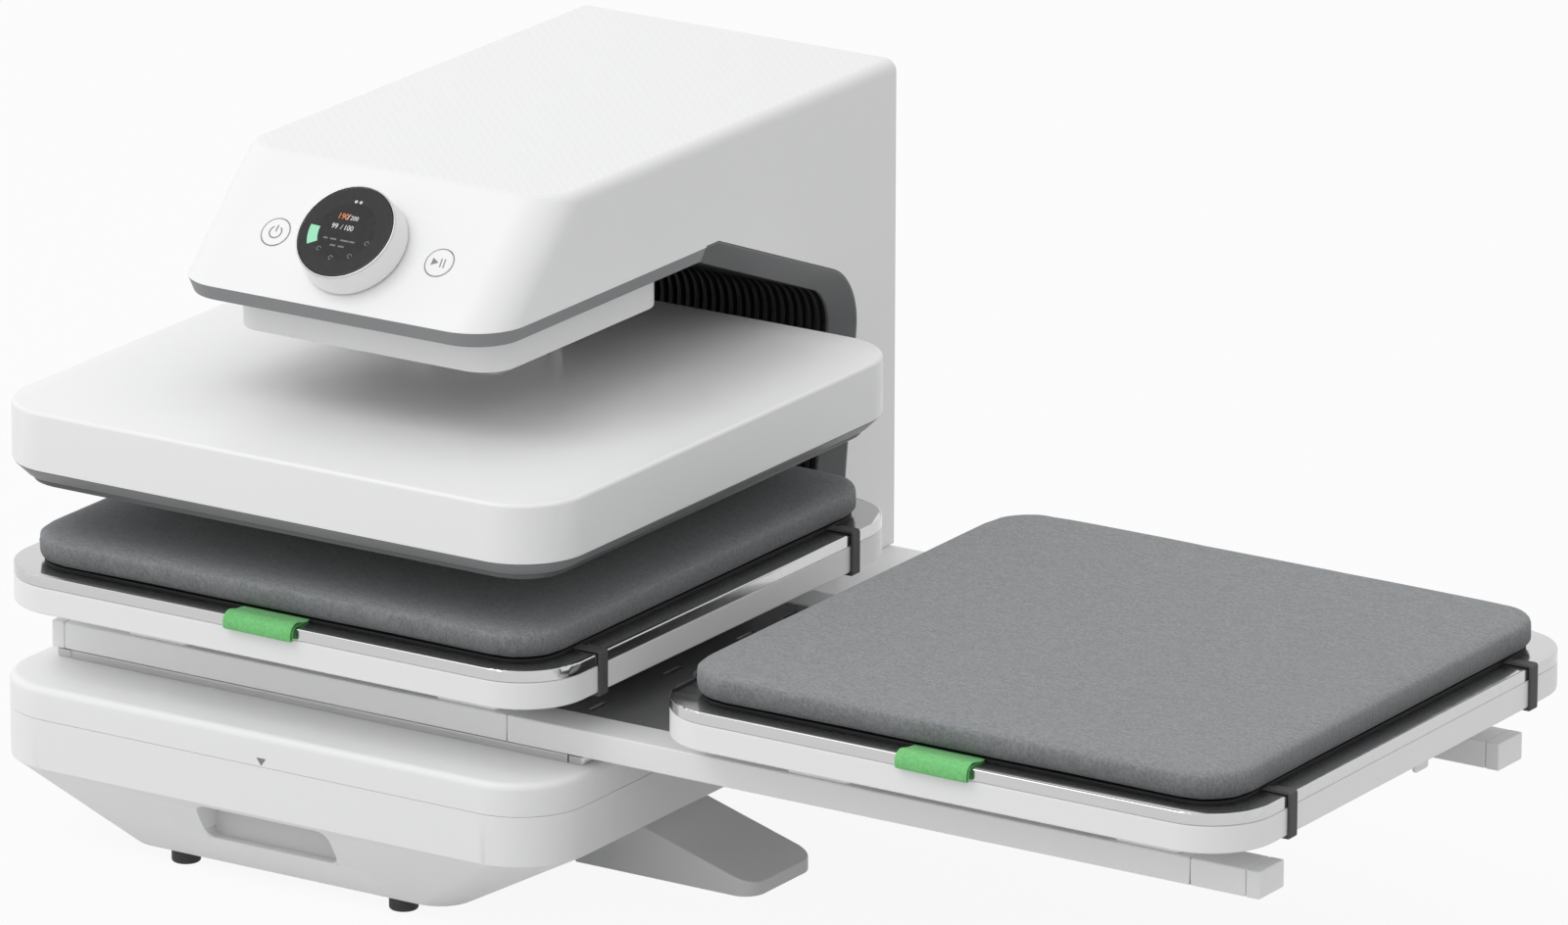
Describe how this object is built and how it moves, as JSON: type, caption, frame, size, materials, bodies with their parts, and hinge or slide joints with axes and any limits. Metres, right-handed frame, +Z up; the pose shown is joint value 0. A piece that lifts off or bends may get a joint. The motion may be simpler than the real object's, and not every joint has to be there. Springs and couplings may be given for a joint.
{
  "type": "dual station heat press",
  "caption": "Free-standing craft heat press: C-shaped arm with a lowering heated platen over a sliding shuttle that carries two padded work plates.",
  "frame": {"origin": "on the floor, straight below the middle of the heated platen", "axes": "+X along the shuttle, towards the station that is out in the open; +Y to the column at the back; +Z up"},
  "size_m": [0.9319, 0.5304, 0.4214],
  "materials": {
    "white_metal": "satin white powder coat",
    "white_plastic": "fine matte white",
    "silver": "satin anodised",
    "pad_fabric": "grey heat-proof cloth over foam",
    "black_board": "matte black",
    "green_tag": "bright green woven tag",
    "dark_rubber": "dark grey elastic",
    "black_rubber": "black",
    "plain_steel": "plain zinc-coated steel",
    "polished_steel": "ground and polished",
    "dark_metal": "dark grey satin",
    "dark_plastic": "dark grey matte",
    "black_plastic": "black matte",
    "bronze": "turned bronze",
    "coated_plate": "non-stick coated",
    "insulation": "pressed mineral fibre",
    "screen_glass": "black glossy",
    "green_board": "lacquered circuit board"
  },
  "bodies": {
    "stand": {"base_hull": "white_plastic", "base_cover": "white_plastic", "rubber_feet": "black_rubber", "outrigger_right": "white_plastic", "outrigger_left": "white_plastic", "guide_rails": "plain_steel", "centre_track": "plain_steel", "housing_shell": "white_plastic", "arm_trim": "dark_plastic", "arm_floor": "dark_metal", "throat_bezels": "dark_plastic", "throat_panel": "black_plastic", "rear_cover": "white_metal", "rear_screws": "dark_metal", "frame_sides": "plain_steel", "frame_floor": "plain_steel", "frame_bridge": "plain_steel", "ram_collar": "white_plastic", "guide_bushes": "bronze", "drive_motor": "dark_metal", "drive_belt": "black_rubber", "control_board": "green_board", "fan_frame": "black_plastic", "power_inlet": "black_plastic", "power_supply": "plain_steel"},
    "platen": {"ram": "white_metal", "screw_nut": "bronze", "guide_rods": "polished_steel", "platen_bracket": "plain_steel", "platen_cover": "white_metal", "platen_rim": "dark_plastic", "heating_plate": "coated_plate", "heating_element": "plain_steel", "insulation_board": "insulation"},
    "screw": {"lead_screw": "plain_steel"},
    "motor_rotor": {"motor_pulley": "silver"},
    "shuttle": {"station_pan_a": "white_metal", "station_pan_b": "white_metal", "station_deck_a": "silver", "station_deck_b": "silver", "pad_a": "pad_fabric", "pad_b": "pad_fabric", "pad_boards": "black_board", "pad_tags": "green_tag", "pad_straps": "dark_rubber", "station_feet": "white_metal", "beam_bars": "plain_steel", "beam_sleeves": "white_metal", "beam_end_caps": "white_plastic", "shuttle_tray": "dark_metal", "tray_runner": "plain_steel"},
    "display": {"display_housing": "black_plastic", "display_glass": "screen_glass"},
    "dial": {"dial_ring": "white_plastic", "dial_trim": "silver"},
    "power_key": {"power_button": "white_plastic"},
    "start_key": {"start_button": "white_plastic"},
    "fan_wheel": {"fan_rotor": "black_plastic"},
    "rocker": {"rocker_switch": "black_plastic"}
  },
  "joints": [
    {"name": "platen_slide", "type": "slide", "parent": "stand", "child": "platen", "axis": [0, 0, -1], "range_m": [0, 0.032]},
    {"name": "screw_turn", "type": "hinge", "parent": "stand", "child": "screw", "pos_m": [0, 0.043, 0.39], "axis": [0, 0, -1], "range_deg": [-4, 1156]},
    {"name": "motor_turn", "type": "hinge", "parent": "stand", "child": "motor_rotor", "pos_m": [0, -0.035, 0.39], "axis": [0, 0, -1], "range_deg": [-8, 3004]},
    {"name": "shuttle_slide", "type": "slide", "parent": "stand", "child": "shuttle", "axis": [-1, 0, 0], "range_m": [0, 0.4765]},
    {"name": "display_press", "type": "slide", "parent": "stand", "child": "display", "axis": [0, 0.6947, -0.7193], "range_m": [0, 0.0008], "stiffness_N_per_m": 4000, "springref_m": -0.0006},
    {"name": "dial_turn", "type": "hinge", "parent": "display", "child": "dial", "pos_m": [0, -0.0975, 0.38341], "axis": [0, -0.6947, 0.7193], "continuous": true},
    {"name": "power_press", "type": "slide", "parent": "stand", "child": "power_key", "axis": [0, 0.6947, -0.7193], "range_m": [0, 0.0008], "stiffness_N_per_m": 1500, "springref_m": -0.0004},
    {"name": "start_press", "type": "slide", "parent": "stand", "child": "start_key", "axis": [0, 0.6947, -0.7193], "range_m": [0, 0.0008], "stiffness_N_per_m": 1500, "springref_m": -0.0004},
    {"name": "fan_turn", "type": "hinge", "parent": "stand", "child": "fan_wheel", "pos_m": [0, 0.3075, 0.205], "axis": [0, 1, 0], "continuous": true},
    {"name": "rocker_tilt", "type": "hinge", "parent": "stand", "child": "rocker", "pos_m": [0.019, 0.3163, 0.14], "axis": [1, 0, 0], "range_deg": [-16, 0]}
  ],
  "couplings": [
    {"joint": "screw_turn", "follows": "platen_slide", "rad_per_m": 628.32},
    {"joint": "motor_turn", "follows": "platen_slide", "rad_per_m": 1633.6}
  ]
}
